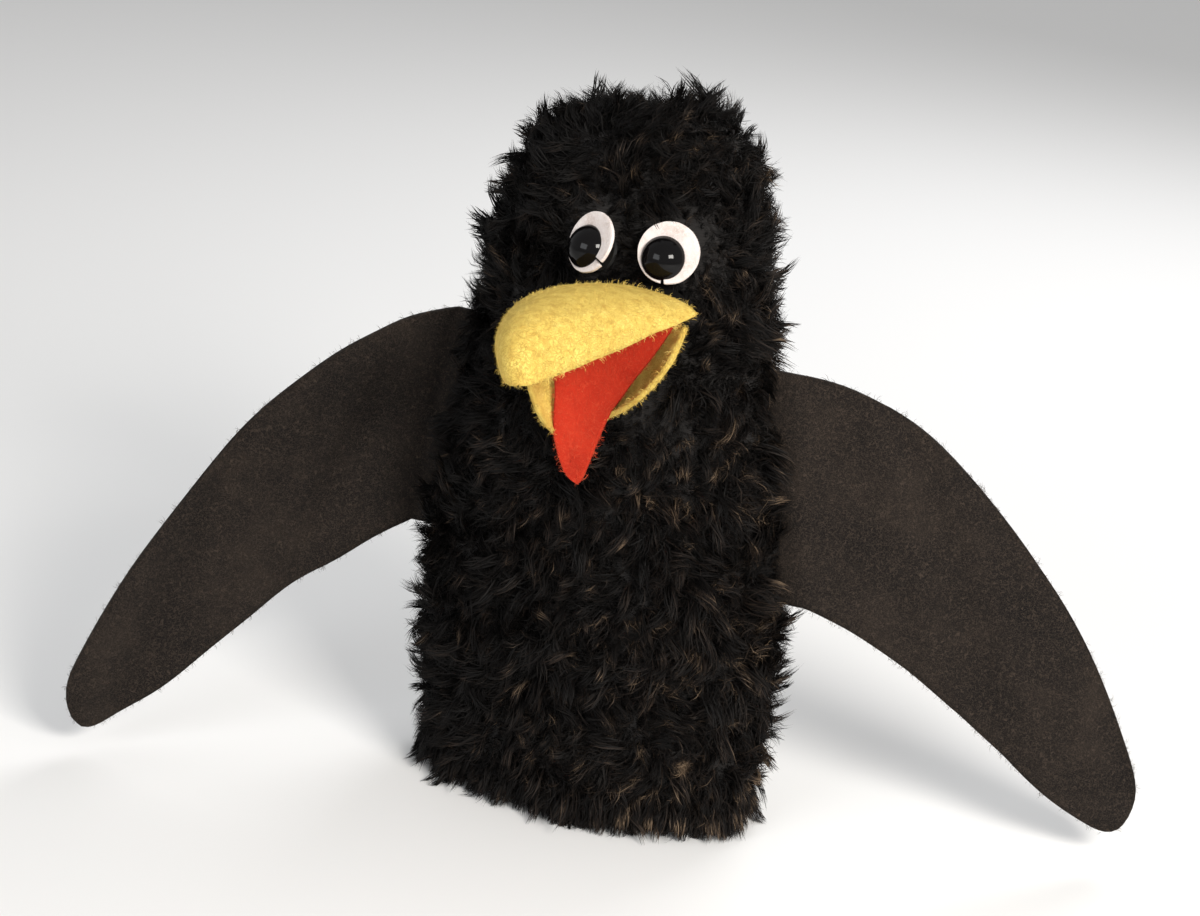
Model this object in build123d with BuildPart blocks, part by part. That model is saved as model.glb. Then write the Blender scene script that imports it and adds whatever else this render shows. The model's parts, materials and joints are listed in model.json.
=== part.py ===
# Moving-mouth hand puppet: a shaggy black bird made as a fur sleeve for one hand, with a felt beak
# that opens, two felt wings sewn into the side seams, and two pupils on white discs for eyes.
# Millimetres. +Z up, the bird faces -Y, and +X is on the right of someone facing it: its own left.
# In the names, left and right are those of someone facing it.
# The origin is the centre of the hand opening, in the plane of the hem that the puppet stands on.
from build123d import *
from math import cos, radians, sin, sqrt
import os

os.makedirs("parts", exist_ok=True)

# ---------------------------------------------------------------- driving dimensions
body_height = 291.0  # hem to the flat of the crown
belly_half_width = 79.0  # widest place of the sleeve, over the pile
body_half_depth = 43.5  # deepest place of the sleeve, over the pile

hem_inset = 5.0  # the sleeve draws in to the hem by this much a side
chest_inset = 6.0
shoulder_inset = 15.0
cheek_inset = 20.5
brow_inset = 28.0
crown_edge_inset = 37.0
crown_top_inset = 51.0

hem_depth_inset = 6.0
belly_depth_inset = 1.5
cheek_depth_inset = 2.5
brow_depth_inset = 8.5
crown_edge_depth_inset = 17.0
crown_top_depth_inset = 29.0

belly_height = 70.0  # above the hem
chest_drop = 157.0  # these drops are below the crown
shoulder_drop = 97.0
cheek_drop = 52.0
brow_drop = 25.0
crown_edge_drop = 8.0
crown_tilt = 7.0  # degrees: the crown stands higher on the +X side
ring_count = 16

fur_thickness = 8.5  # knitted backing and pile together
crown_padding_height = 16.0
facing_height = 22.0  # hem facing, turned up inside
facing_thickness = 1.2
fabric_gap = 0.3  # between pieces that lie against each other

eye_disc_diameter = 23.5
eye_disc_thickness = 1.2
eye_slit_width = 1.2
pupil_diameter = 16.5
pupil_height = 6.0
pupil_rim = 0.8  # straight edge under the dome
pupil_offset = 2.8  # the pupils sit off the middle of the discs, down and to -X
eye_drop = 48.3  # eye centres below the crown
eye_spacing = 27.5  # between the two disc centres
eye_shift = 15.0  # the pair is sewn off centre
eye_stand_off = 1.5  # the discs stand this far out from the mean pile surface
eye_pitch = 21.0  # degrees that the discs look up
shank_diameter = 4.0
shank_length = 17.0
shank_clearance = 0.2
washer_diameter = 15.0
washer_thickness = 1.5
pressed_fur = 6.0  # fur left between a disc and its washer

mouth_drop = 75.5  # mouth hinge below the crown
mouth_shift = 7.0  # towards +X
mouth_forward = 5.5  # hinge line in front of the pile
mouth_roll = 13.0  # degrees: the mouth's +X corner is higher
mouth_half_width = 38.0
mouth_window_margin = 3.0  # bare wall round the mouth
hinge_gap = 0.8  # from the hinge plane to the fixed pieces behind it

beak_felt = 2.0
lining_felt = 1.6
board_thickness = 1.2
board_margin = 4.0  # the stiffener boards stop short of the lining's edge

upper_droop = 3.0  # degrees below level
upper_lean = 1.5  # degrees sideways towards +X
upper_length = 76.0
upper_base_height = 14.0
upper_ridge_height = 20.5

lower_hang = 90.0  # degrees below level
lower_lean = -15.0  # degrees sideways in its own plane
lower_length = 50.0
lower_depth = 9.0  # trough below the lining
lower_rim = 8.0  # trough walls above the lining
tongue_length = 64.5
mouth_closing = 60.0  # degrees the lower jaw swings up
mouth_nod = 5.0  # degrees the upper jaw can be pulled down

wing_drop = 97.0  # top of the wing seam below the crown
wing_seam_length = 95.0
wing_seam_lean = 9.0  # degrees: the foot of the seam line stands further out
wing_clear = 5.5  # hinge line outside the pile at the top of the seam
wing_length = 131.0
wing_reach_down = 104.0  # the tip hangs this far below the foot of the seam
wing_felt = 2.4
wing_hinge_gap = 1.7
seam_allowance = 2.0
left_sweep = 42.0  # degrees in front of straight out (the -X wing)
right_sweep = -24.0  # and behind it (the +X wing)

# ---------------------------------------------------------------- the sleeve's sections
# each station: height, half width, half depth, share of the crown's tilt
stations = [
    (0.0, belly_half_width - hem_inset, body_half_depth - hem_depth_inset, 0.0),
    (belly_height, belly_half_width, body_half_depth - belly_depth_inset, 0.0),
    (body_height - chest_drop, belly_half_width - chest_inset, body_half_depth, 0.0),
    (body_height - shoulder_drop, belly_half_width - shoulder_inset, body_half_depth, 0.0),
    (body_height - cheek_drop, belly_half_width - cheek_inset, body_half_depth - cheek_depth_inset, 0.3),
    (body_height - brow_drop, belly_half_width - brow_inset, body_half_depth - brow_depth_inset, 0.7),
    (
        body_height - crown_edge_drop,
        belly_half_width - crown_edge_inset,
        body_half_depth - crown_edge_depth_inset,
        1.0,
    ),
    (body_height, belly_half_width - crown_top_inset, body_half_depth - crown_top_depth_inset, 1.0),
]


def at_height(height, column):
    """Half width (column 1), half depth (2) or share of the tilt (3), on a curve through the stations."""
    last = len(stations) - 2
    i = next((k for k in range(last) if height <= stations[k + 1][0]), last)
    low, high = stations[i], stations[i + 1]
    before, after = stations[max(i - 1, 0)], stations[min(i + 2, last + 1)]
    span = high[0] - low[0]
    slope_low = (high[column] - before[column]) / (high[0] - before[0])
    slope_high = (after[column] - low[column]) / (after[0] - low[0])
    t = (height - low[0]) / span
    return (
        low[column] * (2 * t**3 - 3 * t**2 + 1)
        + slope_low * span * (t**3 - 2 * t**2 + t)
        + high[column] * (3 * t**2 - 2 * t**3)
        + slope_high * span * (t**3 - t**2)
    )


def station_plane(height):
    """Level plane across the sleeve, tipped sideways near the crown."""
    tilt = radians(crown_tilt * at_height(height, 3))
    return Plane(origin=(0, 0, height), x_dir=(cos(tilt), 0, sin(tilt)), z_dir=(-sin(tilt), 0, cos(tilt)))


def ring_heights(top):
    """Heights of the rings that a sleeve surface is lofted through, closer together near the crown."""
    return [top * sin(radians(90 * i / ring_count)) for i in range(ring_count + 1)]


def face_y(x, height):
    """Y of the mean pile surface on the front, at x and height."""
    across = x / at_height(height, 1)
    return -at_height(height, 2) * sqrt(max(0.0, 1.0 - across * across))


# outer face of the pile and inner face of the backing, used to cut the sleeve's pieces
with BuildPart() as sleeve_outside:
    for height in ring_heights(body_height):
        with BuildSketch(station_plane(height)):
            Ellipse(at_height(height, 1), at_height(height, 2))
    loft(ruled=True)

with BuildPart() as sleeve_inside:
    for height in ring_heights(body_height - fur_thickness):
        with BuildSketch(station_plane(height)):
            Ellipse(at_height(height, 1) - fur_thickness, at_height(height, 2) - fur_thickness)
    loft(ruled=True)

# ---------------------------------------------------------------- mouth frames
mouth_height = body_height - mouth_drop
hinge_y = face_y(0, mouth_height) - mouth_forward
roll = radians(mouth_roll)
# x runs along the hinge line, y back into the head, z up
mouth = Plane(
    origin=(mouth_shift, hinge_y, mouth_height),
    x_dir=(cos(roll), 0, sin(roll)),
    z_dir=(-sin(roll), 0, cos(roll)),
)


def jaw_plane(drop, lean):
    """Plane of a jaw: -y runs out along it, drop degrees below level and leaning to +x; z is its top side."""
    level_out = mouth.y_dir * -cos(radians(drop)) - mouth.z_dir * sin(radians(drop))
    top = mouth.z_dir * cos(radians(drop)) - mouth.y_dir * sin(radians(drop))
    out = level_out * cos(radians(lean)) + mouth.x_dir * sin(radians(lean))
    return Plane(origin=mouth.origin, x_dir=top.cross(out), z_dir=top)


upper_jaw = jaw_plane(upper_droop, upper_lean)
lower_jaw = jaw_plane(lower_hang, lower_lean)


def across_jaw(jaw, distance):
    """Plane square to a jaw, this far out from the hinge: x across the jaw, y towards its top side."""
    return Plane(origin=jaw.from_local_coords((0, -distance, 0)), x_dir=jaw.x_dir, z_dir=-jaw.y_dir)


# upper beak sections: distance from the hinge, half width, height of the arch
upper_sections = [
    (0.0, mouth_half_width, upper_base_height),
    (0.22 * upper_length, mouth_half_width - 6.0, upper_ridge_height - 2.5),
    (0.47 * upper_length, mouth_half_width - 13.5, upper_ridge_height),
    (0.72 * upper_length, mouth_half_width - 22.0, upper_ridge_height - 1.5),
    (0.90 * upper_length, mouth_half_width - 29.5, upper_ridge_height - 8.0),
    (upper_length, mouth_half_width - 35.5, upper_ridge_height - 16.0),
]
# lower beak sections: distance, half width at the rim, rim above the lining, depth below it
lower_sections = [
    (-10.0, mouth_half_width - 2.0, 0.5, lower_depth - 1.5),
    (0.28 * lower_length, mouth_half_width - 10.5, lower_rim - 3.5, lower_depth),
    (0.52 * lower_length, mouth_half_width - 17.0, lower_rim, lower_depth),
    (0.76 * lower_length, mouth_half_width - 22.5, lower_rim, lower_depth - 1.0),
    (lower_length, mouth_half_width - 30.5, lower_rim - 3.5, lower_depth - 4.0),
]
# edges of the tongue-shaped lower lining: distance from the hinge, reach to -x, reach to +x
tongue_edges = [
    (2.0, 26.0, 25.5),
    (16.0, 16.5, 19.0),
    (31.0, 13.2, 11.8),
    (46.0, 12.2, 5.6),
    (tongue_length - 6.5, 7.2, 3.3),
]

# ---------------------------------------------------------------- wing frames
wing_top_height = body_height - wing_drop
wing_foot_height = wing_top_height - wing_seam_length * cos(radians(wing_seam_lean))
wing_top_x = at_height(wing_top_height, 1) + wing_clear
wing_foot_x = wing_top_x + wing_seam_length * sin(radians(wing_seam_lean))


def wing_plane(side, sweep):
    """Plane of a wing: origin at the foot of its seam, y up the seam, x away from the body."""
    foot = Vector(side * wing_foot_x, 0, wing_foot_height)
    up = (Vector(side * wing_top_x, 0, wing_top_height) - foot).normalized()
    out = Vector(side * cos(radians(sweep)), -sin(radians(sweep)), 0)
    out = (out - up * out.dot(up)).normalized()
    return Plane(origin=foot, x_dir=out, z_dir=out.cross(up))


# ---------------------------------------------------------------- eye frames
def eye_plane(side, turn):
    """Plane on the back of an eye disc: z outwards, x level. turn is degrees round towards +X."""
    x = eye_shift + side * eye_spacing / 2
    height = body_height - eye_drop
    out = Vector(
        sin(radians(turn)) * cos(radians(eye_pitch)),
        -cos(radians(turn)) * cos(radians(eye_pitch)),
        sin(radians(eye_pitch)),
    )
    centre = Vector(x, face_y(x, height), height) + out * eye_stand_off
    return Plane(origin=centre, x_dir=Vector(0, 0, 1).cross(out).normalized(), z_dir=out)


left_eye = eye_plane(-1, -30.0)
right_eye = eye_plane(1, 8.0)
eyes = {"left": left_eye, "right": right_eye}
slit_angles = {"left": -30.0, "right": -92.0}  # where each disc's slit points, degrees from +x


def pupil_spot(eye):
    """Plane on the front of the disc at the pupil's centre."""
    return Plane(
        origin=eye.from_local_coords((-pupil_offset * 0.6, -pupil_offset * 0.8, eye_disc_thickness)),
        x_dir=eye.x_dir,
        z_dir=eye.z_dir,
    )


# ---------------------------------------------------------------- what the fur panels make room for
# mouth window: the way through the wall for fingers and thumb
window_size = (mouth_half_width - 6.0, upper_base_height - 1.0)
with BuildPart() as mouth_window:
    with BuildSketch(across_jaw(mouth, 30.0)):
        Ellipse(*window_size)
    extrude(amount=-70)

# pressed pile under the hanging lower beak
with BuildPart() as chin_hollow:
    for distance, half_width, rim, depth in lower_sections:
        with BuildSketch(across_jaw(lower_jaw, distance)):
            with Locations((0, 20.0)):
                RectangleRounded(
                    2 * (half_width + mouth_window_margin),
                    2 * (20.0 + depth + fabric_gap + 0.7),
                    6.0,
                )
    loft()

# pressed pile round the base of the upper beak
with BuildPart() as brow_hollow:
    with BuildSketch(across_jaw(mouth, 30.0)):
        Ellipse(mouth_half_width + mouth_window_margin, upper_base_height + 2 * mouth_window_margin)
    extrude(amount=-(30.0 + mouth_forward + 2.5))

with BuildPart() as eye_seats:
    for eye in eyes.values():
        with BuildSketch(eye):
            Circle(eye_disc_diameter / 2 + fabric_gap)
        extrude(amount=15)
        with BuildSketch(Plane(origin=eye.from_local_coords((0, 0, -pressed_fur)), z_dir=-eye.z_dir)):
            Circle(washer_diameter / 2 + pupil_offset + 1.0)
        extrude(amount=20)
        with BuildSketch(pupil_spot(eye)):
            Circle(shank_diameter / 2 + shank_clearance)
        extrude(amount=-shank_length)


def tab_outline(side):
    """Corners of a wing's seam tab in the XZ plane."""
    inner_top = at_height(wing_top_height, 1) - fur_thickness - seam_allowance
    inner_foot = at_height(wing_foot_height, 1) - fur_thickness - seam_allowance
    return [
        (side * inner_foot, wing_foot_height),
        (side * (wing_foot_x - wing_hinge_gap), wing_foot_height),
        (side * (wing_top_x - wing_hinge_gap), wing_top_height),
        (side * inner_top, wing_top_height),
    ]


with BuildPart() as seam_slots:
    for side in (-1, 1):
        with BuildSketch(Plane.XZ):
            with BuildLine():
                Polyline(*tab_outline(side), close=True)
            make_face()
        extrude(amount=wing_felt / 2, both=True)

# ---------------------------------------------------------------- fur panels
for name, front in (("fur_front_panel", True), ("fur_back_panel", False)):
    with BuildPart() as panel:
        add(sleeve_outside.part)
        add(sleeve_inside.part, mode=Mode.SUBTRACT)
        split(bisect_by=Plane.XZ, keep=Keep.TOP if front else Keep.BOTTOM)
        add(seam_slots.part, mode=Mode.SUBTRACT)
        if front:
            add(mouth_window.part, mode=Mode.SUBTRACT)
            add(chin_hollow.part, mode=Mode.SUBTRACT)
            add(brow_hollow.part, mode=Mode.SUBTRACT)
            add(eye_seats.part, mode=Mode.SUBTRACT)
    panel.part.label = name
    export_step(panel.part, f"parts/{name}.step")

# ---------------------------------------------------------------- hem facing and crown padding
facing_shrink = fur_thickness + fabric_gap
facing_levels = (0.0, facing_height)
with BuildPart() as hem_facing:
    for shrink, mode in ((facing_shrink, Mode.ADD), (facing_shrink + facing_thickness, Mode.SUBTRACT)):
        for level in facing_levels:
            with BuildSketch(Plane.XY.offset(level)):
                Ellipse(at_height(level, 1) - shrink, at_height(level, 2) - shrink)
        loft(mode=mode)
hem_facing.part.label = "hem_facing"
export_step(hem_facing.part, "parts/hem_facing.step")

padding_shrink = fur_thickness + 3.0
padding_top = body_height - fur_thickness - 3.0
with BuildPart() as crown_padding:
    for share, narrow in ((0.0, 6.0), (0.5, 0.0), (1.0, 5.0)):
        level = padding_top - crown_padding_height * (1 - share)
        shrink = padding_shrink + narrow
        with BuildSketch(station_plane(level)):
            Ellipse(at_height(level, 1) - shrink, at_height(level, 2) - shrink)
    loft()
crown_padding.part.label = "crown_padding"
export_step(crown_padding.part, "parts/crown_padding.step")

# ---------------------------------------------------------------- eyes
dome_rise = pupil_height - pupil_rim
dome_radius = ((pupil_diameter / 2) ** 2 + dome_rise**2) / (2 * dome_rise)
for name, eye in eyes.items():
    pupil = pupil_spot(eye)
    pupil_local = eye.to_local_coords(pupil.origin)

    with BuildPart() as disc:
        with BuildSketch(eye):
            Circle(eye_disc_diameter / 2)
            with Locations((pupil_local.X, pupil_local.Y)):
                Circle(shank_diameter / 2 + shank_clearance, mode=Mode.SUBTRACT)
                with Locations(Rotation(0, 0, slit_angles[name])):
                    with Locations((eye_disc_diameter / 2, 0)):
                        Rectangle(eye_disc_diameter, eye_slit_width, mode=Mode.SUBTRACT)
        extrude(amount=eye_disc_thickness)
    disc.part.label = f"eye_disc_{name}"
    export_step(disc.part, f"parts/eye_disc_{name}.step")

    with BuildPart() as pupil_part:
        with BuildSketch(Plane(origin=pupil.origin, x_dir=pupil.x_dir, z_dir=-pupil.y_dir)):
            with BuildLine():
                Line((0, 0), (pupil_diameter / 2, 0))
                Line((pupil_diameter / 2, 0), (pupil_diameter / 2, pupil_rim))
                RadiusArc((pupil_diameter / 2, pupil_rim), (0, pupil_height), -dome_radius)
                Line((0, pupil_height), (0, 0))
            make_face()
        revolve(axis=Axis(pupil.origin, pupil.z_dir))
        with BuildSketch(pupil):
            Circle(shank_diameter / 2)
        extrude(amount=-shank_length)
    pupil_part.part.label = f"pupil_{name}"
    export_step(pupil_part.part, f"parts/pupil_{name}.step")

    washer_seat = pupil.offset(-(eye_disc_thickness + pressed_fur + fabric_gap))
    with BuildPart() as washer:
        with BuildSketch(washer_seat):
            Circle(washer_diameter / 2)
            Circle(shank_diameter / 2 + shank_clearance / 2, mode=Mode.SUBTRACT)
        extrude(amount=-washer_thickness)
    washer.part.label = f"eye_washer_{name}"
    export_step(washer.part, f"parts/eye_washer_{name}.step")

# ---------------------------------------------------------------- mouth seam and fold, fixed to the head
ring_outer = (window_size[0] - fabric_gap, window_size[1] - fabric_gap)
ring_inner = (ring_outer[0] - beak_felt, ring_outer[1] - beak_felt)
ring_front = lower_depth + hinge_gap
ring_back = mouth_forward + fur_thickness + seam_allowance
with BuildPart() as mouth_seam_ring:
    with BuildSketch(across_jaw(mouth, -ring_front)):
        Ellipse(*ring_outer)
        Ellipse(*ring_inner, mode=Mode.SUBTRACT)
    extrude(amount=ring_front - ring_back)
mouth_seam_ring.part.label = "mouth_seam_ring"
export_step(mouth_seam_ring.part, "parts/mouth_seam_ring.step")

fold_half_width = ring_inner[0] - 3.0
fold_depth = 8.0
with BuildPart() as mouth_fold:
    with BuildSketch(Plane(origin=mouth.from_local_coords((-fold_half_width, 0, 0)),
                           x_dir=mouth.y_dir, z_dir=mouth.x_dir)):
        with Locations((hinge_gap + fold_depth / 2, 0)):
            SlotOverall(fold_depth, 2 * lining_felt)
    extrude(amount=2 * fold_half_width)
mouth_fold.part.label = "mouth_fold"
export_step(mouth_fold.part, "parts/mouth_fold.step")

# ---------------------------------------------------------------- upper jaw
def upper_half_width(distance):
    """Half width of the upper beak, straight between its sections."""
    for low, high in zip(upper_sections, upper_sections[1:]):
        if distance <= high[0]:
            return low[1] + (high[1] - low[1]) * (distance - low[0]) / (high[0] - low[0])
    return upper_sections[-1][1]


with BuildPart() as upper_beak_felt:
    for distance, half_width, height in upper_sections:
        with BuildSketch(across_jaw(upper_jaw, distance)):
            with BuildLine():
                EllipticalCenterArc((0, 0), half_width, height, start_angle=0, arc_size=180)
                Line((-half_width, 0), (half_width, 0))
            make_face()
    loft()
    for distance, half_width, height in upper_sections[:-1]:
        with BuildSketch(across_jaw(upper_jaw, distance)):
            Ellipse(half_width - beak_felt, height - beak_felt)
    loft(mode=Mode.SUBTRACT)
upper_beak_felt.part.label = "upper_beak_felt"
export_step(upper_beak_felt.part, "parts/upper_beak_felt.step")

lining_inset = beak_felt + 1.4  # the upper lining lies inside the beak's walls
lining_start = lining_felt + 0.6  # the moving linings start this far from the hinge line
for name, low, thickness, inset, end in (
    ("upper_mouth_lining", 0.0, lining_felt, lining_inset, 0.84 * upper_length),
    ("upper_mouth_board", lining_felt, board_thickness, lining_inset + board_margin, 0.72 * upper_length),
):
    stops = [lining_start, 0.22 * upper_length, 0.47 * upper_length, end]
    with BuildPart() as flat_piece:
        with BuildSketch(upper_jaw.offset(low)):
            right = [(upper_half_width(stop) - inset, -stop) for stop in stops]
            left = [(-x, y) for x, y in reversed(right)]
            with BuildLine():
                Line(left[-1], right[0])
                Spline(*right)
                ThreePointArc(right[-1], (0, -end - 0.5 * right[-1][0]), left[0])
                Spline(*left)
            make_face()
        extrude(amount=thickness)
    flat_piece.part.label = name
    export_step(flat_piece.part, f"parts/{name}.step")

# ---------------------------------------------------------------- lower jaw
# the lower pieces are trimmed along the fold of the mouth, which leans across them
fold_plane = Plane(origin=mouth.from_local_coords((0, 0, -lining_start)), z_dir=mouth.z_dir)
# where the upper lining lies over the lower rims with the mouth pulled shut, and its clearance in degrees
shut_clearance = 1.2
shut_plane = jaw_plane(upper_droop + mouth_nod + mouth_closing + shut_clearance, 0.0)


def tongue_outline(inset, end):
    """Closed outline of the lower lining, drawn in by inset and rounded off at end."""
    stops = [stop for stop in tongue_edges if stop[0] < end - 3.0]
    right = [(reach - inset, -distance) for distance, _, reach in stops]
    left = [(inset - reach, -distance) for distance, reach, _ in reversed(stops)]
    with BuildLine() as outline:
        Line(left[-1], right[0])
        Spline(*right)
        ThreePointArc(right[-1], ((right[-1][0] + left[0][0]) / 2, -end), left[0])
        Spline(*left)
    return outline.line


# the trough's walls stop at the edge of the tongue, which lies over its end
with BuildPart() as tongue_room:
    with BuildSketch(lower_jaw.offset(-lining_felt)):
        add(tongue_outline(0.0, tongue_length))
        make_face()
    extrude(amount=lining_felt + 2 * lower_rim)

# the way for the thumb, from inside the head down into the lower beak
with BuildPart() as thumb_way:
    with BuildSketch(across_jaw(mouth, -(lining_felt + board_thickness + fabric_gap))):
        Ellipse(*ring_inner)
    extrude(amount=-2 * lower_depth)

with BuildPart() as lower_beak_felt:
    for distance, half_width, rim, depth in lower_sections:
        with BuildSketch(across_jaw(lower_jaw, distance)):
            with BuildLine():
                EllipticalCenterArc((0, rim), half_width, rim + depth, start_angle=180, arc_size=180)
                Line((-half_width, rim), (half_width, rim))
            make_face()
    loft(ruled=True)
    for distance, half_width, rim, depth in lower_sections:
        past_end = {lower_sections[0][0]: -1.0, lower_length: 1.0}.get(distance, 0.0)
        inner_width = half_width - beak_felt
        inner_depth = rim + depth - beak_felt
        with BuildSketch(across_jaw(lower_jaw, distance + past_end)):
            with BuildLine():
                EllipticalCenterArc((0, rim), inner_width, inner_depth, start_angle=180, arc_size=180)
                Polyline(
                    (-inner_width, rim),
                    (-inner_width, rim + lower_rim),
                    (inner_width, rim + lower_rim),
                    (inner_width, rim),
                )
            make_face()
    loft(ruled=True, mode=Mode.SUBTRACT)
    add(tongue_room.part, mode=Mode.SUBTRACT)
    add(thumb_way.part, mode=Mode.SUBTRACT)
    split(bisect_by=fold_plane, keep=Keep.BOTTOM)
    split(bisect_by=shut_plane, keep=Keep.BOTTOM)
lower_beak_felt.part.label = "lower_beak_felt"
export_step(lower_beak_felt.part, "parts/lower_beak_felt.step")

for name, top, thickness, inset, end in (
    ("lower_mouth_lining", 0.0, lining_felt, 0.0, tongue_length),
    ("lower_mouth_board", -lining_felt, board_thickness, board_margin, 0.8 * lower_length),
):
    with BuildPart() as flat_piece:
        with BuildSketch(lower_jaw.offset(top)):
            add(tongue_outline(inset, end))
            make_face()
        extrude(amount=-thickness)
        split(bisect_by=fold_plane, keep=Keep.BOTTOM)
    flat_piece.part.label = name
    export_step(flat_piece.part, f"parts/{name}.step")

# ---------------------------------------------------------------- wings
# outline from the top of the seam round the tip to its foot: x away from the seam, y up from its foot
wing_outline = [
    (wing_hinge_gap, wing_seam_length),
    (0.36 * wing_length, wing_seam_length - 23.0),
    (0.635 * wing_length, wing_seam_length - 67.0),
    (0.87 * wing_length, -0.27 * wing_reach_down),
    (0.985 * wing_length, -0.70 * wing_reach_down),
    (wing_length - 1.0, -0.92 * wing_reach_down),
    (wing_length - 9.0, -wing_reach_down),
    (wing_length - 22.0, -0.95 * wing_reach_down),
    (0.53 * wing_length, -0.56 * wing_reach_down),
    (0.24 * wing_length, -0.20 * wing_reach_down),
    (wing_hinge_gap, 0.0),
]
for side, name, sweep in ((-1, "left", left_sweep), (1, "right", right_sweep)):
    with BuildPart() as wing:
        with BuildSketch(wing_plane(side, sweep)):
            with BuildLine():
                Spline(*wing_outline)
                Line(wing_outline[-1], wing_outline[0])
            make_face()
        extrude(amount=wing_felt / 2, both=True)
    wing.part.label = f"{name}_wing"
    export_step(wing.part, f"parts/{name}_wing.step")

    with BuildPart() as wing_tab:
        with BuildSketch(Plane.XZ):
            with BuildLine():
                Polyline(*tab_outline(side), close=True)
            make_face()
        extrude(amount=wing_felt / 2, both=True)
    wing_tab.part.label = f"{name}_wing_seam_tab"
    export_step(wing_tab.part, f"parts/{name}_wing_seam_tab.step")
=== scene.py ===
# Hand puppet of a shaggy black bird: a fur sleeve for the hand, a felt beak that opens,
# felt wings sewn into the side seams, and domed pupils on white discs.
import json
import math

import bmesh
import bpy
import numpy as np
from mathutils import Matrix, Vector, noise
from mathutils.bvhtree import BVHTree
from mathutils.kdtree import KDTree


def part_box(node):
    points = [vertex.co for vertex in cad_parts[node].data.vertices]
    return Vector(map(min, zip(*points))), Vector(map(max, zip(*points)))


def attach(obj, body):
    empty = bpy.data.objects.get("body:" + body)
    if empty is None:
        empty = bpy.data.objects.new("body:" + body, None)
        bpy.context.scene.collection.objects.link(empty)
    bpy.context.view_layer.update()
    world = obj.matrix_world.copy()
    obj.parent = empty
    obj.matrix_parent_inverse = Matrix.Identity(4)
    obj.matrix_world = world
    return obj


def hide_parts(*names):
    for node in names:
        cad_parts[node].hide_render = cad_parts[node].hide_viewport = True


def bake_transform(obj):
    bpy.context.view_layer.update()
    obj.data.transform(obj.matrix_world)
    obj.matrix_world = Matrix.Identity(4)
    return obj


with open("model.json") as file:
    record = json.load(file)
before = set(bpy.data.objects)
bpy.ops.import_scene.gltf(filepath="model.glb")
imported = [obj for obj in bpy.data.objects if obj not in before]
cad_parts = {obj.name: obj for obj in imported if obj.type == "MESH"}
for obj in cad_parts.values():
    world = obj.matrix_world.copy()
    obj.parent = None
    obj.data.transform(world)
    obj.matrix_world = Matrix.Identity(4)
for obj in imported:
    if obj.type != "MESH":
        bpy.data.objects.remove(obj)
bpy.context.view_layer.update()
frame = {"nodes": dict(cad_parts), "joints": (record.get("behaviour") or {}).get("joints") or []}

# ---------------------------------------------------------------- knitted backing of the sleeve
# The sleeve is two pieces of knitted fake-fur backing, a front and a back, sewn together up the
# sides and over the crown. The pile grows out of it, so little of the black knit ever shows.
noise.seed_set(17)  # without a seed the noise vectors would differ from run to run
pile_depth = 0.0062
backing_thickness = 0.0011
hem_height = 0.0065
crown_start = 0.244
low_corner, high_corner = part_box("fur_front_panel")
sleeve_half_width = (high_corner.x - low_corner.x) / 2
sleeve_half_depth = -low_corner.y


def cad_surface(names):
    """Tree of these pieces' faces, to find a surface with."""
    spots = []
    faces = []
    for name in names:
        mesh = frame["nodes"][name].data
        start = len(spots)
        spots += [v.co.copy() for v in mesh.vertices]
        faces += [[start + i for i in polygon.vertices] for polygon in mesh.polygons]
    return BVHTree.FromPolygons(spots, faces)


sleeve_surface = cad_surface(["fur_back_panel"])
mouth_place = Vector(frame["joints"][0]["pos_m"])
hinge_line = -Vector(frame["joints"][0]["axis"])
mouth_up = hinge_line.cross(Vector((0, 1, 0)))


def sleeve_spot(turn, level):
    """Point on the backing. turn runs round the sleeve in degrees; level is a height up to crown_start,
    and above it an angle over the crown, up to 90 degrees past crown_start. The front has the back's
    shape, with a hole for the mouth."""
    front = math.sin(math.radians(turn)) < -0.001
    width = sleeve_half_width * math.cos(math.radians(turn))
    depth = max(abs(sleeve_half_depth * math.sin(math.radians(turn))), 0.0004)
    out = Vector((width, depth, 0)).normalized()
    centre = Vector((0, 0, min(level, crown_start)))
    if level > crown_start:
        rise = math.radians(level - crown_start)
        out = out * math.cos(rise) + Vector((0, 0, 1)) * math.sin(rise)
        out.y = max(out.y, 0.001)
    for nudge in (0, 0.001, 0.003, 0.006):
        spot, _, _, _ = sleeve_surface.ray_cast(centre + out * 0.2 + Vector((0, nudge, 0)), -out)
        if spot is not None:
            spot.y -= nudge
            break
    spot = spot - out * pile_depth
    if front:
        spot.y = -spot.y
        from_mouth = spot - mouth_place
        if math.hypot(from_mouth.dot(hinge_line) / 0.028, from_mouth.dot(mouth_up) / 0.0095) < 1:
            return None
    return spot


def rows_to_object(name, rows):
    """Piece made of rows of points, one quad between each four; a face with a missing corner is left open."""
    shape = bmesh.new()
    grid = [[None if point is None else shape.verts.new(point) for point in row] for row in rows]
    for low_row, high_row in zip(grid, grid[1:]):
        for i in range(len(low_row) - 1):
            corners = [low_row[i], low_row[i + 1], high_row[i + 1], high_row[i]]
            if None not in corners:
                shape.faces.new(corners)
    bmesh.ops.delete(shape, geom=[v for v in shape.verts if not v.link_faces], context="VERTS")
    bmesh.ops.remove_doubles(shape, verts=shape.verts, dist=0.00002)
    for face in shape.faces:
        face.smooth = True
    mesh = bpy.data.meshes.new(name)
    shape.to_mesh(mesh)
    shape.free()
    piece = bpy.data.objects.new(name, mesh)
    bpy.context.scene.collection.objects.link(piece)
    return piece


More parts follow.
